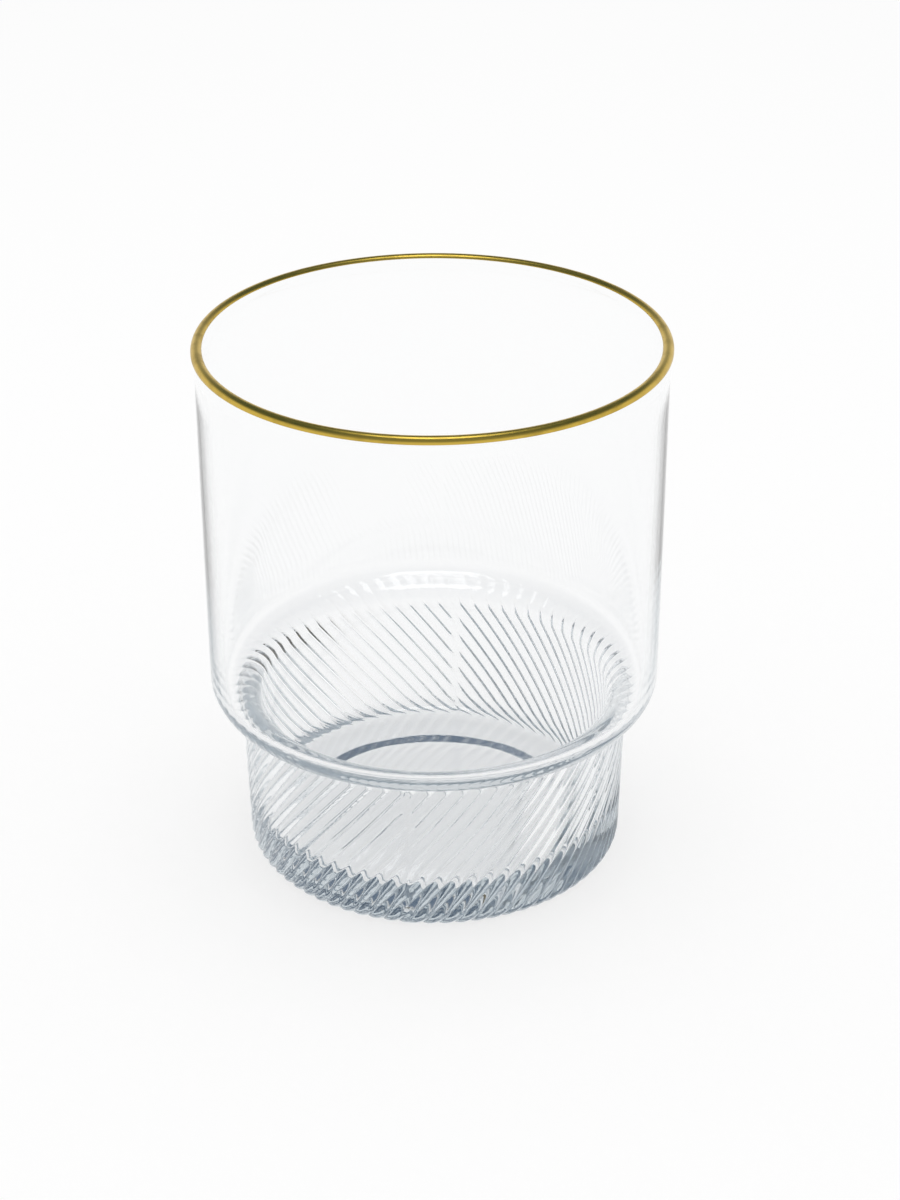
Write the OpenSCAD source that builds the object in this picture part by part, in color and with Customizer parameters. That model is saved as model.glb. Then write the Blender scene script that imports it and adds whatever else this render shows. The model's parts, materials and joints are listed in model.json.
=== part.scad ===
// Stacking tea glass: a straight bowl over a narrower foot with slanted ribs, and a gold lip.
// Millimetres, +Z up, origin on the axis at the level of the table.

/* [Bowl] */
// Overall height of the glass
glass_h = 99; // [90:1:115]
// Outer diameter at the lip
rim_d = 82.6; // [79:0.2:92]
// How much narrower the bowl is just above the shoulder, measured across
bowl_taper = 1.2; // [0:0.1:6]
// Thickness of the lip
lip_t = 1.8; // [1.4:0.1:3]
// How far the lip's bead stands out over the wall below it
bead_step = 0.35; // [0:0.05:0.6]
// Height of the bead, down to where the wall runs on straight
lip_h = 4; // [2:0.5:8]
// Thickness of the bowl's wall just above the shoulder
bowl_wall = 2.1; // [1.6:0.1:3.5]

/* [Shoulder] */
// Height of the shoulder's underside above the table
shoulder_z = 31; // [26:0.5:38]
// Thickness of the glass in the shoulder
shoulder_t = 2.5; // [2:0.1:4]
// Rounding of the shoulder's outer corner
shoulder_r = 4.4; // [3:0.1:4.6]
// Rounding of the corner inside the bowl
shelf_r = 2.6; // [1.5:0.1:3.2]
// Rounding of the edge between the bowl's shelf and the well
well_edge_r = 3.5; // [1:0.1:4.5]

/* [Foot] */
// How far the shoulder stands out over the ribs of the foot
shoulder_step = 5.55; // [4.5:0.05:8]
// How much narrower the foot is at the base than at the shoulder, measured across
foot_taper = 1.5; // [0:0.1:4]
// Rounding where the foot meets the shoulder
neck_r = 2.4; // [1.2:0.1:2.8]
// Rounding of the base corner
base_r = 3.1; // [1.5:0.1:4]
// Thickness of the foot's wall, measured over the ribs
foot_wall = 3.2; // [2.6:0.1:5]
// Thickness of the floor, measured from the table
floor_t = 7.5; // [5:0.5:12]
// Rounding of the corner between the well's wall and its floor
well_corner_r = 2.5; // [1:0.1:4]

/* [Ribs] */
// Number of ribs round the foot
rib_n = 72; // [48:1:84]
// Depth of the grooves between the ribs
rib_depth = 0.5; // [0.2:0.05:0.8]
// Lean of the ribs from upright, in degrees
rib_lean = 40; // [0:1:50]

/* [Underside] */
// Width of the flat ring that the glass stands on
ring_w = 5.5; // [2:0.1:8]
// Width of the slope between the ring and the hollow
slope_w = 4; // [1:0.1:6]
// Height of the hollow inside the ring
hollow_h = 0.8; // [0.3:0.1:1.5]

/* [Gold lip] */
// Depth of the gold on the outside of the lip
gold_out_h = 1.1; // [1:0.1:2.5]
// Thickness of the gold layer
gold_t = 0.1; // [0.05:0.01:0.2]

/* [Hidden] */
$fn = 96;

// How far a cut runs past the glass
overrun = 0.5;

// Straight pieces in one rounding, and in the half round of the lip
arc_steps = 8;
lip_steps = 16;

// Angle round the lip's half circle, from the outside, at which the gold ends inside
gold_in_angle = 157.5;

// Points in one rib, and upright bands in the straight stretch of the foot
rib_points = 4;
foot_bands = 5;

// Angle at which the foot's roundings run out straight, and their steps
foot_arc_end = 70;
foot_arc_steps = 3;

// Lean, from upright, at which the foot enters the shoulder
entry_lean = 45;

// Where the plain core ends in the foot's wall, and where the ribbed sleeve begins
core_share = 0.6;
sleeve_share = 0.3;

// How much of the shelf, beside the bowl's corner, the well's edge may take up
edge_limit_share = 0.95;

// How deep the sleeve's top stands in the shoulder
sleeve_lap_share = 0.15;

rim_r = rim_d / 2;
bowl_r = (rim_d - bowl_taper) / 2;
bowl_in_r = bowl_r - bowl_wall;
lip_r = lip_t / 2;
lip_z = glass_h - lip_r;
lip_centre = [rim_r - lip_r, lip_z];
shelf_z = shoulder_z + shoulder_t;
foot_top_r = bowl_r - shoulder_step;
foot_low_r = foot_top_r - foot_taper / 2;
foot_mid_r = (foot_top_r + foot_low_r) / 2;
well_top_r = foot_top_r - foot_wall;
well_low_r = foot_low_r - foot_wall;
edge_r = min(well_edge_r, (bowl_in_r - shelf_r - well_top_r) * edge_limit_share);
ring_points = rib_n * rib_points;
sleeve_top_z = shoulder_z + shoulder_t * sleeve_lap_share;
base_out_r = run_out(base_at(foot_arc_end), foot_arc_end, -overrun)[0];

// Radius inside the foot's wall at a share of its thickness, counted from the well
function wall_at(outer_r, share) = outer_r - foot_wall * (1 - share);

// Outer radius of the bead at a height below its round
function bead_at(z) = rim_r - bead_step * (lip_z - z) / (lip_h - lip_r);

// Points on an arc, each end included
function arc(centre, r, from, to, steps) =
    [for (k = [0 : steps])
        let (a = from + (to - from) * k / steps)
        centre + r * [cos(a), sin(a)]];

// Half section of the smooth glass, run down past the table, with the foot's wall without its ribs
function glass_section() = concat(
    [[0, -overrun], [wall_at(base_out_r, core_share), -overrun]],
    [[wall_at(foot_low_r, core_share), floor_t], [wall_at(foot_top_r, core_share), shoulder_z]],
    arc([bowl_r - shoulder_r, shoulder_z + shoulder_r], shoulder_r, -90, 0, arc_steps),
    [[bead_at(glass_h - lip_h), glass_h - lip_h]],
    arc(lip_centre, lip_r, 0, 180, lip_steps),
    [[rim_r - lip_t, glass_h - lip_h]],
    arc([bowl_in_r - shelf_r, shelf_z + shelf_r], shelf_r, 0, -90, arc_steps),
    arc([well_top_r + edge_r, shelf_z - edge_r], edge_r, 90, 180, arc_steps),
    arc([well_low_r - well_corner_r, floor_t + well_corner_r], well_corner_r, 0, -90, arc_steps),
    [[0, floor_t]]);

// Outline of the foot over its ribs, as radius, height and share of the groove's depth:
// up the outside from below the table into the shoulder
function base_at(a) = [foot_low_r - base_r * (1 - cos(a)), base_r * (1 - sin(a))];
function neck_at(a) = [foot_top_r + neck_r * (1 - cos(a)), shoulder_z - neck_r * (1 - sin(a))];
function run_out(p, a, z) = [p[0] + (z - p[1]) * tan(a), z];
function foot_levels() = concat(
    [level(run_out(base_at(foot_arc_end), foot_arc_end, -overrun), 1)],
    [for (k = [foot_arc_steps : -1 : 0]) level(base_at(foot_arc_end * k / foot_arc_steps), 1)],
    [for (k = [1 : foot_bands - 1]) level(base_at(0) + (neck_at(0) - base_at(0)) * k / foot_bands, 1)],
    [for (k = [0 : foot_arc_steps])
        let (a = foot_arc_end * k / foot_arc_steps)
        level(neck_at(a), cos(a))],
    [level(run_out(neck_at(foot_arc_end), entry_lean, sleeve_top_z), cos(foot_arc_end))],
    [level([wall_at(foot_top_r, sleeve_share), sleeve_top_z], 0)],
    [level([wall_at(foot_low_r, sleeve_share), floor_t], 0)],
    [level([wall_at(base_out_r, sleeve_share), -overrun], 0)]);
function level(p, groove_share) = [p[0], p[1], groove_share];

// Depth share of the groove at a place along one rib's width: a round crest and a sharp groove
function groove(place) = 1 - sin(180 * place);

// Turn of the ribs at a height, in degrees, rising to the right as seen from outside
function rib_turn(z) = z * tan(rib_lean) / foot_mid_r * 180 / PI;

// One ring of points round the foot
function rib_ring(lv) =
    [for (k = [0 : ring_points - 1])
        let (a = 360 * k / ring_points + rib_turn(lv[1]))
        let (r = lv[0] - rib_depth * lv[2] * groove(k % rib_points / rib_points))
        [r * cos(a), r * sin(a), lv[1]]];

// Ribbed sleeve of the foot: rings of points joined in a closed loop, up the outside and down the inside
module ribbed_sleeve() {
    levels = foot_levels();
    count = len(levels);
    points = [for (lv = levels) each rib_ring(lv)];
    faces = [for (i = [0 : count - 1])
        for (k = [0 : ring_points - 1])
            let (low = i * ring_points)
            let (high = (i + 1) % count * ring_points)
            let (next = (k + 1) % ring_points)
            each [[low + k, high + k, high + next], [low + k, high + next, low + next]]];
    polyhedron(points, faces);
}

// Space under the base: level with the table, with a shallow hollow inside the standing ring
module underside() {
    ring_out_r = run_out(base_at(foot_arc_end), foot_arc_end, 0)[0] - rib_depth;
    ring_in_r = ring_out_r - ring_w;
    rotate_extrude()
        polygon([
            [0, -2 * overrun], [rim_r, -2 * overrun], [rim_r, 0], [ring_in_r, 0],
            [ring_in_r - slope_w, hollow_h], [0, hollow_h]]);
}

module glass_body() {
    color("aliceblue", 0.5)
        difference() {
            union() {
                rotate_extrude() polygon(glass_section());
                ribbed_sleeve();
            }
            underside();
        }
}

// Gold fired onto the lip: down the outside, over the round top and just into the bowl
module gold_rim() {
    gold_steps = round(lip_steps * gold_in_angle / 180);
    low_z = glass_h - gold_out_h;
    color("goldenrod")
        rotate_extrude()
            polygon(concat(
                [[bead_at(low_z), low_z], [bead_at(low_z) + gold_t, low_z]],
                arc(lip_centre, lip_r + gold_t, 0, gold_in_angle, gold_steps),
                arc(lip_centre, lip_r, gold_in_angle, 0, gold_steps)));
}

glass_body();
gold_rim();
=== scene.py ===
import json
import math

import bpy
from mathutils import Matrix, Vector

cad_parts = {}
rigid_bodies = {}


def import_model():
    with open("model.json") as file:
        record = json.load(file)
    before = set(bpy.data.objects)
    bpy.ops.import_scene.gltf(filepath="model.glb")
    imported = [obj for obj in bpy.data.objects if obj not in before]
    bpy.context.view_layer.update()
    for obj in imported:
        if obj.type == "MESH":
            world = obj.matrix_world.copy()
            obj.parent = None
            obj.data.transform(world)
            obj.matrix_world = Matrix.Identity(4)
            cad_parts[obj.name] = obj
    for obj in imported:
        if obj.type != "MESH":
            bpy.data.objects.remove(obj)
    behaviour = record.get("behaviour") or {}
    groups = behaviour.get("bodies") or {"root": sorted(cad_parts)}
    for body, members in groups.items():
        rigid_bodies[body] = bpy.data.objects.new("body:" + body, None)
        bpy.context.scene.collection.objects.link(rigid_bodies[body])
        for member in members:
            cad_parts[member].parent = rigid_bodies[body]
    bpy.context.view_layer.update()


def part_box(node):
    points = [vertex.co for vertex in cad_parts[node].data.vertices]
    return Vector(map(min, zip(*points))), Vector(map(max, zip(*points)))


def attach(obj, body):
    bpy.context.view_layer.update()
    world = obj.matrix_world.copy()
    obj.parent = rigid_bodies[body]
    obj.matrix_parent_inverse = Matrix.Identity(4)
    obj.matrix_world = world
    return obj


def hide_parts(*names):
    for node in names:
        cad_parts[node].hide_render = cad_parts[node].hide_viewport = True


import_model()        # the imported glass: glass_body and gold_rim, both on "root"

mm = 0.001
glassLow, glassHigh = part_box("glass_body")
rimR = glassHigh.x       # outer radius at the lip
glassH = glassHigh.z     # height of the lip


# camera: fitted to the photo's outline

shot = {
    "elevation": 28.13,      # degrees above the table
    "distance": 483.7 * mm,  # from the aim point
    "aimHeight": 48.1 * mm,
    "focal": 2682,           # in pixels of the 900 x 1200 picture
    "axisLeft": 16.4,        # pixels from the picture's middle to the glass's axis
    "roll": -0.31,           # degrees
    "longSide": 1200,
    "sensor": 36,
}


def makeCamera(s):
    data = bpy.data.cameras.new("photoCamera")
    data.sensor_width = s["sensor"]
    data.lens = s["focal"] / s["longSide"] * s["sensor"]
    data.shift_x = s["axisLeft"] / s["longSide"]
    data.clip_start, data.clip_end = 0.01, 50
    cam = bpy.data.objects.new("photoCamera", data)
    bpy.context.scene.collection.objects.link(cam)
    e = math.radians(s["elevation"])
    back = Vector((0, -math.cos(e), math.sin(e)))
    turn = (-back).to_track_quat("-Z", "Y").to_matrix() @ Matrix.Rotation(math.radians(s["roll"]), 3, "Z")
    cam.matrix_world = Matrix.Translation(Vector((0, 0, s["aimHeight"])) + back * s["distance"]) @ turn.to_4x4()
    bpy.context.scene.camera = cam
    return cam


makeCamera(shot)
print("camera set")


# outline tools, in radius and height

def arc(centre, r, start, end, steps):       # both ends included, degrees
    angles = [math.radians(start + (end - start) * k / steps) for k in range(steps + 1)]
    return [(centre[0] + r * math.cos(a), centre[1] + r * math.sin(a)) for a in angles]


def stretch(a, b, steps):                    # points between a and b, ends left out
    return [(a[0] + (b[0] - a[0]) * k / steps, a[1] + (b[1] - a[1]) * k / steps) for k in range(1, steps)]


def latheMesh(name, rings, around, closed):
    # rings: one list of (x, y, z) per level, or a single point where the outline meets the axis
    verts, first = [], []
    for ring in rings:
        first.append(len(verts))
        verts.extend(ring)
    faces = []
    pairs = list(zip(range(len(rings) - 1), range(1, len(rings))))
    if closed:
        pairs.append((len(rings) - 1, 0))
    for i, j in pairs:
        a, b = first[i], first[j]
        for k in range(around):
            n = (k + 1) % around
            if len(rings[i]) == 1:
                faces.append((a, b + n, b + k))
            elif len(rings[j]) == 1:
                faces.append((a + k, a + n, b))
            else:
                faces.append((a + k, a + n, b + n, b + k))
    mesh = bpy.data.meshes.new(name)
    mesh.from_pydata(verts, [], faces)
    mesh.polygons.foreach_set("use_smooth", [True] * len(mesh.polygons))
    mesh.update()
    piece = bpy.data.objects.new(name, mesh)
    bpy.context.scene.collection.objects.link(piece)
    return piece


# glass body

glass = {
    "lipT": 1.8 * mm,
    "bead": 0.35 * mm,         # the lip's bead over the wall
    "lipH": 4 * mm,            # height of the bead
    "bowlTaper": 0.6 * mm,     # narrowing of the bowl from lip to shoulder, on the radius
    "bowlWall": 2.1 * mm,
    "shoulderZ": 31 * mm,
    "shoulderT": 2.5 * mm,
    "shoulderR": 4.4 * mm,
    "shelfR": 2.6 * mm,
    "wellEdgeR": 3.5 * mm,
    "step": 5.55 * mm,         # shoulder over the ribs
    "footTaper": 0.75 * mm,    # on the radius
    "neckR": 2.4 * mm,
    "baseR": 3.1 * mm,
    "footWall": 3.2 * mm,
    "floorT": 7.5 * mm,
    "wellCornerR": 2.5 * mm,
    "ringW": 5.5 * mm,
    "slopeW": 4 * mm,
    "hollowH": 0.8 * mm,
}
ribs = {
    "count": 72,
    "points": 12,              # across one rib
    "depth": 0.5 * mm,
    "lean": 40,                # degrees from upright, rising to the right
    "baseShare": 0.4,          # share of the depth at the table
    "baseGain": 0.2,           # share won with each step of the base's rounding
    "neckLoss": 0.4,           # share lost along the neck
    "shoulderLoss": 0.1,       # share lost with each step under the shoulder
    "seam": 82.1,              # direction of the mould's parting line, degrees from +X
    "seamW": 0.45 * mm,
}


steps = {                      # straight pieces in each stretch of the outline
    "hollow": 5,
    "slope": 8,
    "ring": 4,
    "round": 10,
    "foot": 30,
    "shoulder": 16,
    "bowl": 10,
    "bead": 8,
    "lip": 20,
    "well": 12,
    "floor": 5,
}


def sCurve(low, lowR, high, highR):
    # angle at which the hollow neck and the round shoulder share a tangent
    d = Vector((high[0] - low[0], high[1] - low[1]))
    along = math.degrees(math.atan2(d.y, d.x))
    return along + math.degrees(math.acos(min(1, (lowR + highR) / d.length)))


def ease(s):
    return s * s * (3 - 2 * s)


def glassOutline(g, rb, n):
    # (radius, height, share of the rib's depth) from under the base to the lip and down to the floor
    bowlR = rimR - g["bowlTaper"]
    footTop = bowlR - g["step"]
    footLow = footTop - g["footTaper"]
    innerR = bowlR - g["bowlWall"]
    wellTop, wellLow = footTop - g["footWall"], footLow - g["footWall"]
    shelfZ = g["shoulderZ"] + g["shoulderT"]
    lipR = g["lipT"] / 2
    ringOut = footLow - g["baseR"]
    ringIn = ringOut - g["ringW"]

    neckC = (footTop + g["neckR"], g["shoulderZ"] - g["neckR"])
    shoulderC = (bowlR - g["shoulderR"], g["shoulderZ"] + g["shoulderR"])
    t = sCurve(neckC, g["neckR"], shoulderC, g["shoulderR"])

    under = [(0, g["hollowH"])] + stretch((0, g["hollowH"]), (ringIn - g["slopeW"], g["hollowH"]), n["hollow"])
    for k in range(n["slope"] + 1):           # soft slope from the hollow to the standing ring
        s = k / n["slope"]
        under.append((ringIn - g["slopeW"] * (1 - s), g["hollowH"] * (1 - ease(s))))
    under += stretch((ringIn, 0), (ringOut, 0), n["ring"])
    base = arc((ringOut, g["baseR"]), g["baseR"], -90, 0, n["round"])
    wall = stretch((footLow, g["baseR"]), (footTop, neckC[1]), n["foot"])
    neck = arc(neckC, g["neckR"], 180, t, n["round"])
    shoulder = arc(shoulderC, g["shoulderR"], t - 180, 0, n["shoulder"])

    beadLow, lipLow = (rimR - g["bead"], glassH - g["lipH"]), (rimR - g["lipT"], glassH - g["lipH"])
    bowlOut = stretch((bowlR, shoulderC[1]), beadLow, n["bowl"])
    lip = []
    for k in range(n["bead"]):                # the wall swells into the bead
        s = k / n["bead"]
        lip.append((rimR - g["bead"] * (1 - ease(s)), beadLow[1] + (g["lipH"] - lipR) * s))
    lip += arc((rimR - lipR, glassH - lipR), lipR, 0, 180, n["lip"]) + [lipLow]

    shelfC = (innerR - g["shelfR"], shelfZ + g["shelfR"])
    edgeC = (wellTop + g["wellEdgeR"], shelfZ - g["wellEdgeR"])
    cornerC = (wellLow - g["wellCornerR"], g["floorT"] + g["wellCornerR"])
    bowlIn = stretch(lipLow, (innerR, shelfC[1]), n["bowl"])
    shelf = arc(shelfC, g["shelfR"], 0, -90, n["round"])
    edge = arc(edgeC, g["wellEdgeR"], 90, 180, n["round"])
    wellWall = stretch((wellTop, edgeC[1]), (wellLow, cornerC[1]), n["well"])
    corner = arc(cornerC, g["wellCornerR"], 0, -90, n["round"])
    floor = stretch(corner[-1], (0, g["floorT"]), n["floor"]) + [(0, g["floorT"])]

    out = [(r, z, 0) for r, z in under]
    out += [(r, z, min(1, rb["baseShare"] + rb["baseGain"] * k)) for k, (r, z) in enumerate(base)]
    out += [(r, z, 1) for r, z in wall]
    out += [(r, z, 1 - rb["neckLoss"] * (k / n["round"]) ** 2) for k, (r, z) in enumerate(neck)]
    neckEnd = 1 - rb["neckLoss"]
    out += [(r, z, max(0, neckEnd - rb["shoulderLoss"] * k)) for k, (r, z) in enumerate(shoulder)]
    out += [(r, z, 0) for r, z in bowlOut + lip + bowlIn + shelf + edge + wellWall + corner + floor]
    return out, (footTop + footLow) / 2


def glassRings(outline, midR, rb):
    around = rb["count"] * rb["points"]
    seams = [math.radians(rb["seam"]), math.radians(rb["seam"] + 180)]
    perMetre = math.tan(math.radians(rb["lean"])) / midR
    rings, turn = [], 0
    for r, z, share in outline:
        if r == 0:
            rings.append([(0, 0, z)])
            continue
        if share > 0:
            turn = z * perMetre
        ring = []
        for k in range(around):
            a = 2 * math.pi * k / around + turn
            rr = r
            if share > 0:
                gap = min(abs(math.remainder(a - s, 2 * math.pi)) for s in seams) * r
                half = math.remainder(a - seams[0], 2 * math.pi) > 0    # the second half of the mould
                place = (k / rb["points"] + 0.5 * half) % 1
                fade = 1 - math.exp(-(gap / rb["seamW"]) ** 2)
                rr -= rb["depth"] * share * fade * (1 - math.sin(math.pi * place))
            ring.append((rr * math.cos(a), rr * math.sin(a), z))
        rings.append(ring)
    return rings, around


outline, midR = glassOutline(glass, ribs, steps)
rings, around = glassRings(outline, midR, ribs)
glassBody = latheMesh("glassBody", rings, around, False)
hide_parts("glass_body")
print("glass body:", len(glassBody.data.polygons), "faces")


# gold on the lip

gold = {
    "outH": 1.1 * mm,       # down the outside
    "inAngle": 157.5,       # round the lip, from the outside
    "layer": 0.1 * mm,
    "bite": 0.03 * mm,      # keyed into the glass
    "edgeOutShare": 0.5,    # the lower edge, thinned to this share of the layer
    "edgeUpShare": 0.6,     # height of its chamfer, as a share of the layer
    "steps": 22,            # round the lip
    "around": 720,
}


def goldRings(gd, g):
    lipR = g["lipT"] / 2
    centre = (rimR - lipR, glassH - lipR)
    lowZ = glassH - gd["outH"]
    t = gd["layer"]
    outer = [(rimR + t * gd["edgeOutShare"], lowZ), (rimR + t, lowZ + t * gd["edgeUpShare"])]
    outer += arc(centre, lipR + t, 0, gd["inAngle"], gd["steps"])
    inner = arc(centre, lipR - gd["bite"], gd["inAngle"], 0, gd["steps"]) + [(rimR - gd["bite"], lowZ)]
    turns = [2 * math.pi * k / gd["around"] for k in range(gd["around"])]
    return [[(r * math.cos(a), r * math.sin(a), z) for a in turns] for r, z in outer + inner]


goldLip = latheMesh("goldLip", goldRings(gold, glass), gold["around"], True)
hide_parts("gold_rim")
print("gold lip:", len(goldLip.data.polygons), "faces")


# shared shader group: faint marks of pressing and handling

handlingLook = {"spotsFrom": 0.45, "spotsTo": 0.75}      # part of the noise that counts as a mark


def handlingGroup(h):
    tree = bpy.data.node_groups.new("handlingMarks", "ShaderNodeTree")
    face = tree.interface
    for name, value in (("Scale", 40.0), ("Stretch", 1.0), ("Detail", 3.0)):
        face.new_socket(name, in_out="INPUT", socket_type="NodeSocketFloat").default_value = value
    face.new_socket("Mask", in_out="OUTPUT", socket_type="NodeSocketFloat")
    face.new_socket("Height", in_out="OUTPUT", socket_type="NodeSocketFloat")
    nodes, links = tree.nodes, tree.links
    start, end = nodes.new("NodeGroupInput"), nodes.new("NodeGroupOutput")
    place = nodes.new("ShaderNodeTexCoord")
    squeeze = nodes.new("ShaderNodeCombineXYZ")
    squeeze.inputs["X"].default_value = squeeze.inputs["Y"].default_value = 1
    links.new(start.outputs["Stretch"], squeeze.inputs["Z"])
    scaled = nodes.new("ShaderNodeVectorMath")
    scaled.operation = "MULTIPLY"
    links.new(place.outputs["Object"], scaled.inputs[0])
    links.new(squeeze.outputs["Vector"], scaled.inputs[1])
    broad = nodes.new("ShaderNodeTexNoise")
    links.new(scaled.outputs["Vector"], broad.inputs["Vector"])
    links.new(start.outputs["Scale"], broad.inputs["Scale"])
    links.new(start.outputs["Detail"], broad.inputs["Detail"])
    spots = nodes.new("ShaderNodeMapRange")
    spots.inputs["From Min"].default_value = h["spotsFrom"]
    spots.inputs["From Max"].default_value = h["spotsTo"]
    links.new(broad.outputs["Fac"], spots.inputs["Value"])
    links.new(spots.outputs["Result"], end.inputs["Mask"])
    links.new(broad.outputs["Fac"], end.inputs["Height"])
    return tree


handling = handlingGroup(handlingLook)


def newMaterial(name):
    mat = bpy.data.materials.new(name)
    mat.use_nodes = True
    nodes, links = mat.node_tree.nodes, mat.node_tree.links
    return mat, nodes, links, nodes["Principled BSDF"], nodes["Material Output"]


def placeGroup(nodes, c):
    marks = nodes.new("ShaderNodeGroup")
    marks.node_tree = handling
    marks.inputs["Scale"].default_value = c["markScale"]
    marks.inputs["Stretch"].default_value = c["markStretch"]
    marks.inputs["Detail"].default_value = c["markDetail"]
    return marks


clearGlass = {
    "ior": 1.51,
    "tint": (0.62, 0.69, 0.73, 1),   # what the glass lets through, weighed by the density
    "density": 20.0,
    "roughLow": 0.0,
    "roughHigh": 0.02,
    "wave": 0.02,                    # strength of the pressed glass's waviness
    "waveHeight": 0.15 * mm,
    "markScale": 35,
    "markStretch": 0.5,
    "markDetail": 2,
}


def clearGlassMaterial(c):
    mat, nodes, links, shader, out = newMaterial("clearGlass")
    shader.inputs["Base Color"].default_value = (1, 1, 1, 1)
    shader.inputs["Transmission Weight"].default_value = 1
    shader.inputs["IOR"].default_value = c["ior"]
    marks = placeGroup(nodes, c)
    rough = nodes.new("ShaderNodeMapRange")
    rough.inputs["To Min"].default_value, rough.inputs["To Max"].default_value = c["roughLow"], c["roughHigh"]
    links.new(marks.outputs["Mask"], rough.inputs["Value"])
    links.new(rough.outputs["Result"], shader.inputs["Roughness"])
    wave = nodes.new("ShaderNodeBump")
    wave.inputs["Strength"].default_value = c["wave"]
    wave.inputs["Distance"].default_value = c["waveHeight"]
    links.new(marks.outputs["Height"], wave.inputs["Height"])
    links.new(wave.outputs["Normal"], shader.inputs["Normal"])
    soak = nodes.new("ShaderNodeVolumeAbsorption")
    soak.inputs["Color"].default_value = c["tint"]
    soak.inputs["Density"].default_value = c["density"]
    links.new(soak.outputs["Volume"], out.inputs["Volume"])
    return mat


firedGold = {
    "thick": (0.62, 0.43, 0.075, 1),
    "thin": (0.50, 0.345, 0.06, 1),
    "roughLow": 0.3,
    "roughHigh": 0.42,
    "markScale": 300,
    "markStretch": 1,
    "markDetail": 4,
}


def firedGoldMaterial(c):
    mat, nodes, links, shader, out = newMaterial("firedGold")
    shader.inputs["Metallic"].default_value = 1
    marks = placeGroup(nodes, c)
    tone = nodes.new("ShaderNodeMix")
    tone.data_type = "RGBA"
    tone.inputs["A"].default_value, tone.inputs["B"].default_value = c["thick"], c["thin"]
    links.new(marks.outputs["Mask"], tone.inputs["Factor"])
    links.new(tone.outputs["Result"], shader.inputs["Base Color"])
    rough = nodes.new("ShaderNodeMapRange")
    rough.inputs["To Min"].default_value, rough.inputs["To Max"].default_value = c["roughLow"], c["roughHigh"]
    links.new(marks.outputs["Mask"], rough.inputs["Value"])
    links.new(rough.outputs["Result"], shader.inputs["Roughness"])
    return mat


glassBody.data.materials.append(clearGlassMaterial(clearGlass))
goldLip.data.materials.append(firedGoldMaterial(firedGold))
print("materials set")


# floor, light and air of the studio

studio = {
    "floorSize": 12,
    "floorDrop": 0.02 * mm,               # under the standing ring
    "floorRough": 0.9,
    "floorTone": (0.97, 0.97, 0.97, 1),
    "floorGlow": 0.7,                     # share of plain white in the floor, as camera, glass and gold see it
    "fill": 0.85,                         # even light from all round
    "around": (1, 1, 1, 1),
    "upper": (0.05, 0.10, 0.17, 1),       # overhead, as glass and gold see it
    "front": (0.30, 0.34, 0.40, 1),       # the unlit side of the room, behind the camera
    "upperFrom": (0.25, 0.55),            # rise of the look upwards over which it darkens
    "frontSide": (-0.2, -0.7),            # towards the camera, from lit to unlit
    "frontFrom": (0.05, 0.3),             # and upwards
    "bounces": 40,                        # light runs round in the thick base for long
    "mirrorBounces": 24,
    "softbox": {"size": 0.35, "power": 1.3, "at": (0, 0, 0.85)},
}


def times(nodes, links, a, b):
    node = nodes.new("ShaderNodeMath")
    node.operation = "MULTIPLY"
    links.new(a, node.inputs[0])
    if isinstance(b, float):
        node.inputs[1].default_value = b
    else:
        links.new(b, node.inputs[1])
    return node.outputs["Value"]


def spread(nodes, links, value, low, high):      # 0 at low, 1 at high, eased
    node = nodes.new("ShaderNodeMapRange")
    node.interpolation_type = "SMOOTHSTEP"
    node.inputs["From Min"].default_value, node.inputs["From Max"].default_value = low, high
    links.new(value, node.inputs["Value"])
    return node.outputs["Result"]


def firstSight(nodes, links):
    # 1 for what the camera sees straight, mirrored or through glass; 0 once light has met the floor
    path = nodes.new("ShaderNodeLightPath")
    sight = path.outputs["Is Camera Ray"]
    for name in ("Is Glossy Ray", "Is Transmission Ray"):
        either = nodes.new("ShaderNodeMath")
        either.operation = "MAXIMUM"
        links.new(sight, either.inputs[0])
        links.new(path.outputs[name], either.inputs[1])
        sight = either.outputs["Value"]
    clean = nodes.new("ShaderNodeMath")
    clean.operation = "LESS_THAN"
    clean.inputs[1].default_value = 0.5
    links.new(path.outputs["Diffuse Depth"], clean.inputs[0])
    return times(nodes, links, sight, clean.outputs["Value"])


def makeFloor(s):
    half = s["floorSize"] / 2
    mesh = bpy.data.meshes.new("floor")
    corners = [(-half, -half, 0), (half, -half, 0), (half, half, 0), (-half, half, 0)]
    mesh.from_pydata(corners, [], [(0, 1, 2, 3)])
    floor = bpy.data.objects.new("floor", mesh)
    floor.location.z = glassLow.z - s["floorDrop"]
    bpy.context.scene.collection.objects.link(floor)
    mat, nodes, links, shader, out = newMaterial("paleFloor")
    shader.inputs["Base Color"].default_value = s["floorTone"]
    shader.inputs["Roughness"].default_value = s["floorRough"]
    shader.inputs["Specular IOR Level"].default_value = 0
    plain = nodes.new("ShaderNodeEmission")
    mix = nodes.new("ShaderNodeMixShader")
    links.new(times(nodes, links, firstSight(nodes, links), s["floorGlow"]), mix.inputs["Fac"])
    links.new(shader.outputs["BSDF"], mix.inputs[1])
    links.new(plain.outputs["Emission"], mix.inputs[2])
    links.new(mix.outputs["Shader"], out.inputs["Surface"])
    mesh.materials.append(mat)


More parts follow.
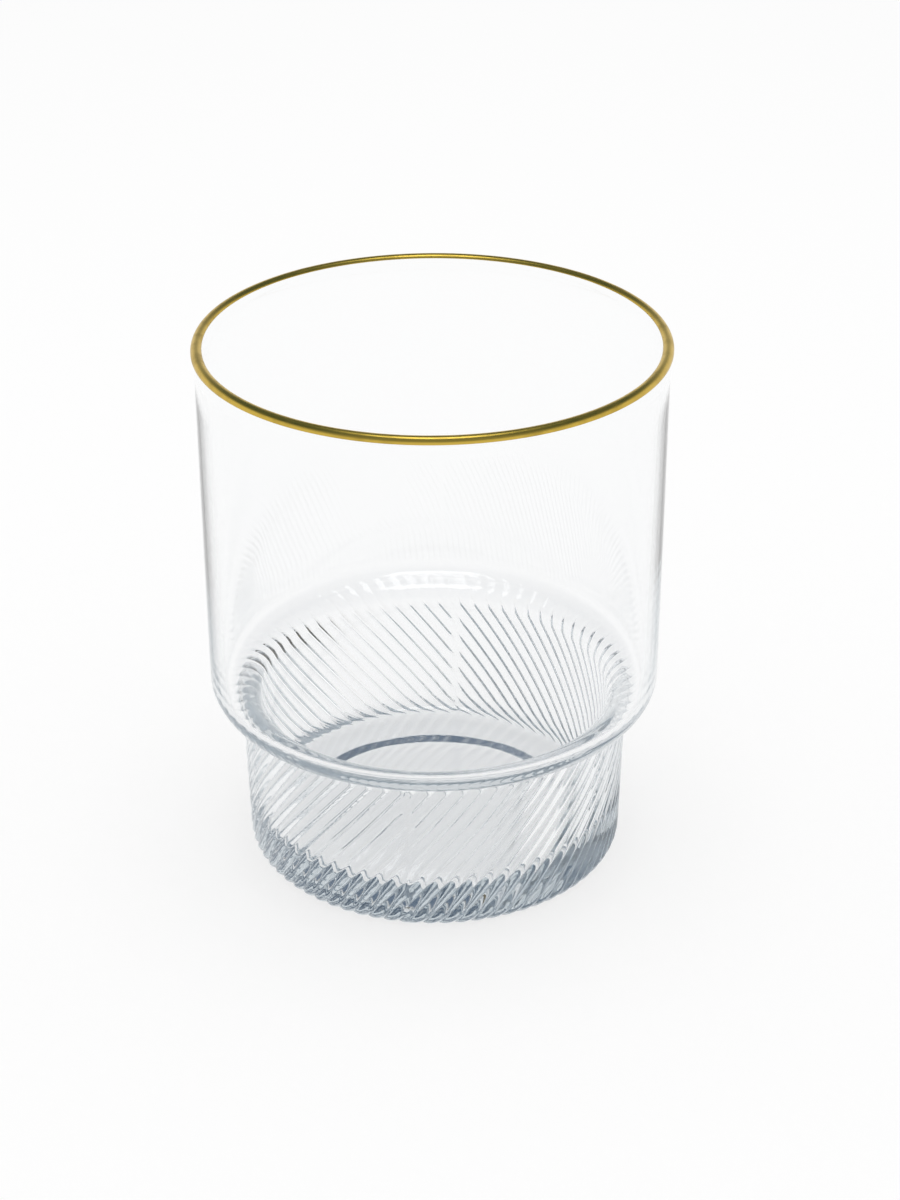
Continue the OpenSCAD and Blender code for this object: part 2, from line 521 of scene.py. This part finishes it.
def makeWorld(s):
    world = bpy.data.worlds.new("studio")
    bpy.context.scene.world = world
    world.use_nodes = True
    nodes, links = world.node_tree.nodes, world.node_tree.links
    nodes.clear()
    out = nodes.new("ShaderNodeOutputWorld")
    place = nodes.new("ShaderNodeTexCoord")
    split = nodes.new("ShaderNodeSeparateXYZ")
    links.new(place.outputs["Generated"], split.inputs["Vector"])
    high = spread(nodes, links, split.outputs["Z"], *s["upperFrom"])
    unlit = times(nodes, links, spread(nodes, links, split.outputs["Y"], *s["frontSide"]),
                  spread(nodes, links, split.outputs["Z"], *s["frontFrom"]))
    tone = s["around"]
    for factor, colour in ((high, s["upper"]), (unlit, s["front"])):
        mix = nodes.new("ShaderNodeMix")
        mix.data_type = "RGBA"
        links.new(factor, mix.inputs["Factor"])
        if isinstance(tone, tuple):
            mix.inputs["A"].default_value = tone
        else:
            links.new(tone, mix.inputs["A"])
        mix.inputs["B"].default_value = colour
        tone = mix.outputs["Result"]
    seen = nodes.new("ShaderNodeBackground")
    links.new(tone, seen.inputs["Color"])
    fill = nodes.new("ShaderNodeBackground")
    fill.inputs["Color"].default_value = s["around"]
    fill.inputs["Strength"].default_value = s["fill"]
    mix = nodes.new("ShaderNodeMixShader")
    links.new(firstSight(nodes, links), mix.inputs["Fac"])
    links.new(fill.outputs["Background"], mix.inputs[1])
    links.new(seen.outputs["Background"], mix.inputs[2])
    links.new(mix.outputs["Shader"], out.inputs["Surface"])


def makeLamp(name, box):
    data = bpy.data.lights.new(name, "AREA")
    data.shape, data.size, data.energy = "SQUARE", box["size"], box["power"]
    lamp = bpy.data.objects.new(name, data)
    bpy.context.scene.collection.objects.link(lamp)
    lamp.location = box["at"]
    lamp.rotation_mode = "QUATERNION"
    lamp.rotation_quaternion = (Vector((0, 0, glassH / 2)) - lamp.location).to_track_quat("-Z", "Y")


makeFloor(studio)
makeWorld(studio)
makeLamp("softbox", studio["softbox"])
bpy.context.scene.view_settings.view_transform = "Standard"
rays = bpy.context.scene.cycles
rays.max_bounces = rays.transmission_bounces = studio["bounces"]
rays.glossy_bounces = studio["mirrorBounces"]
print("studio set")


# hand over

for piece in (glassBody, goldLip):
    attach(piece, "root")
bpy.context.view_layer.update()
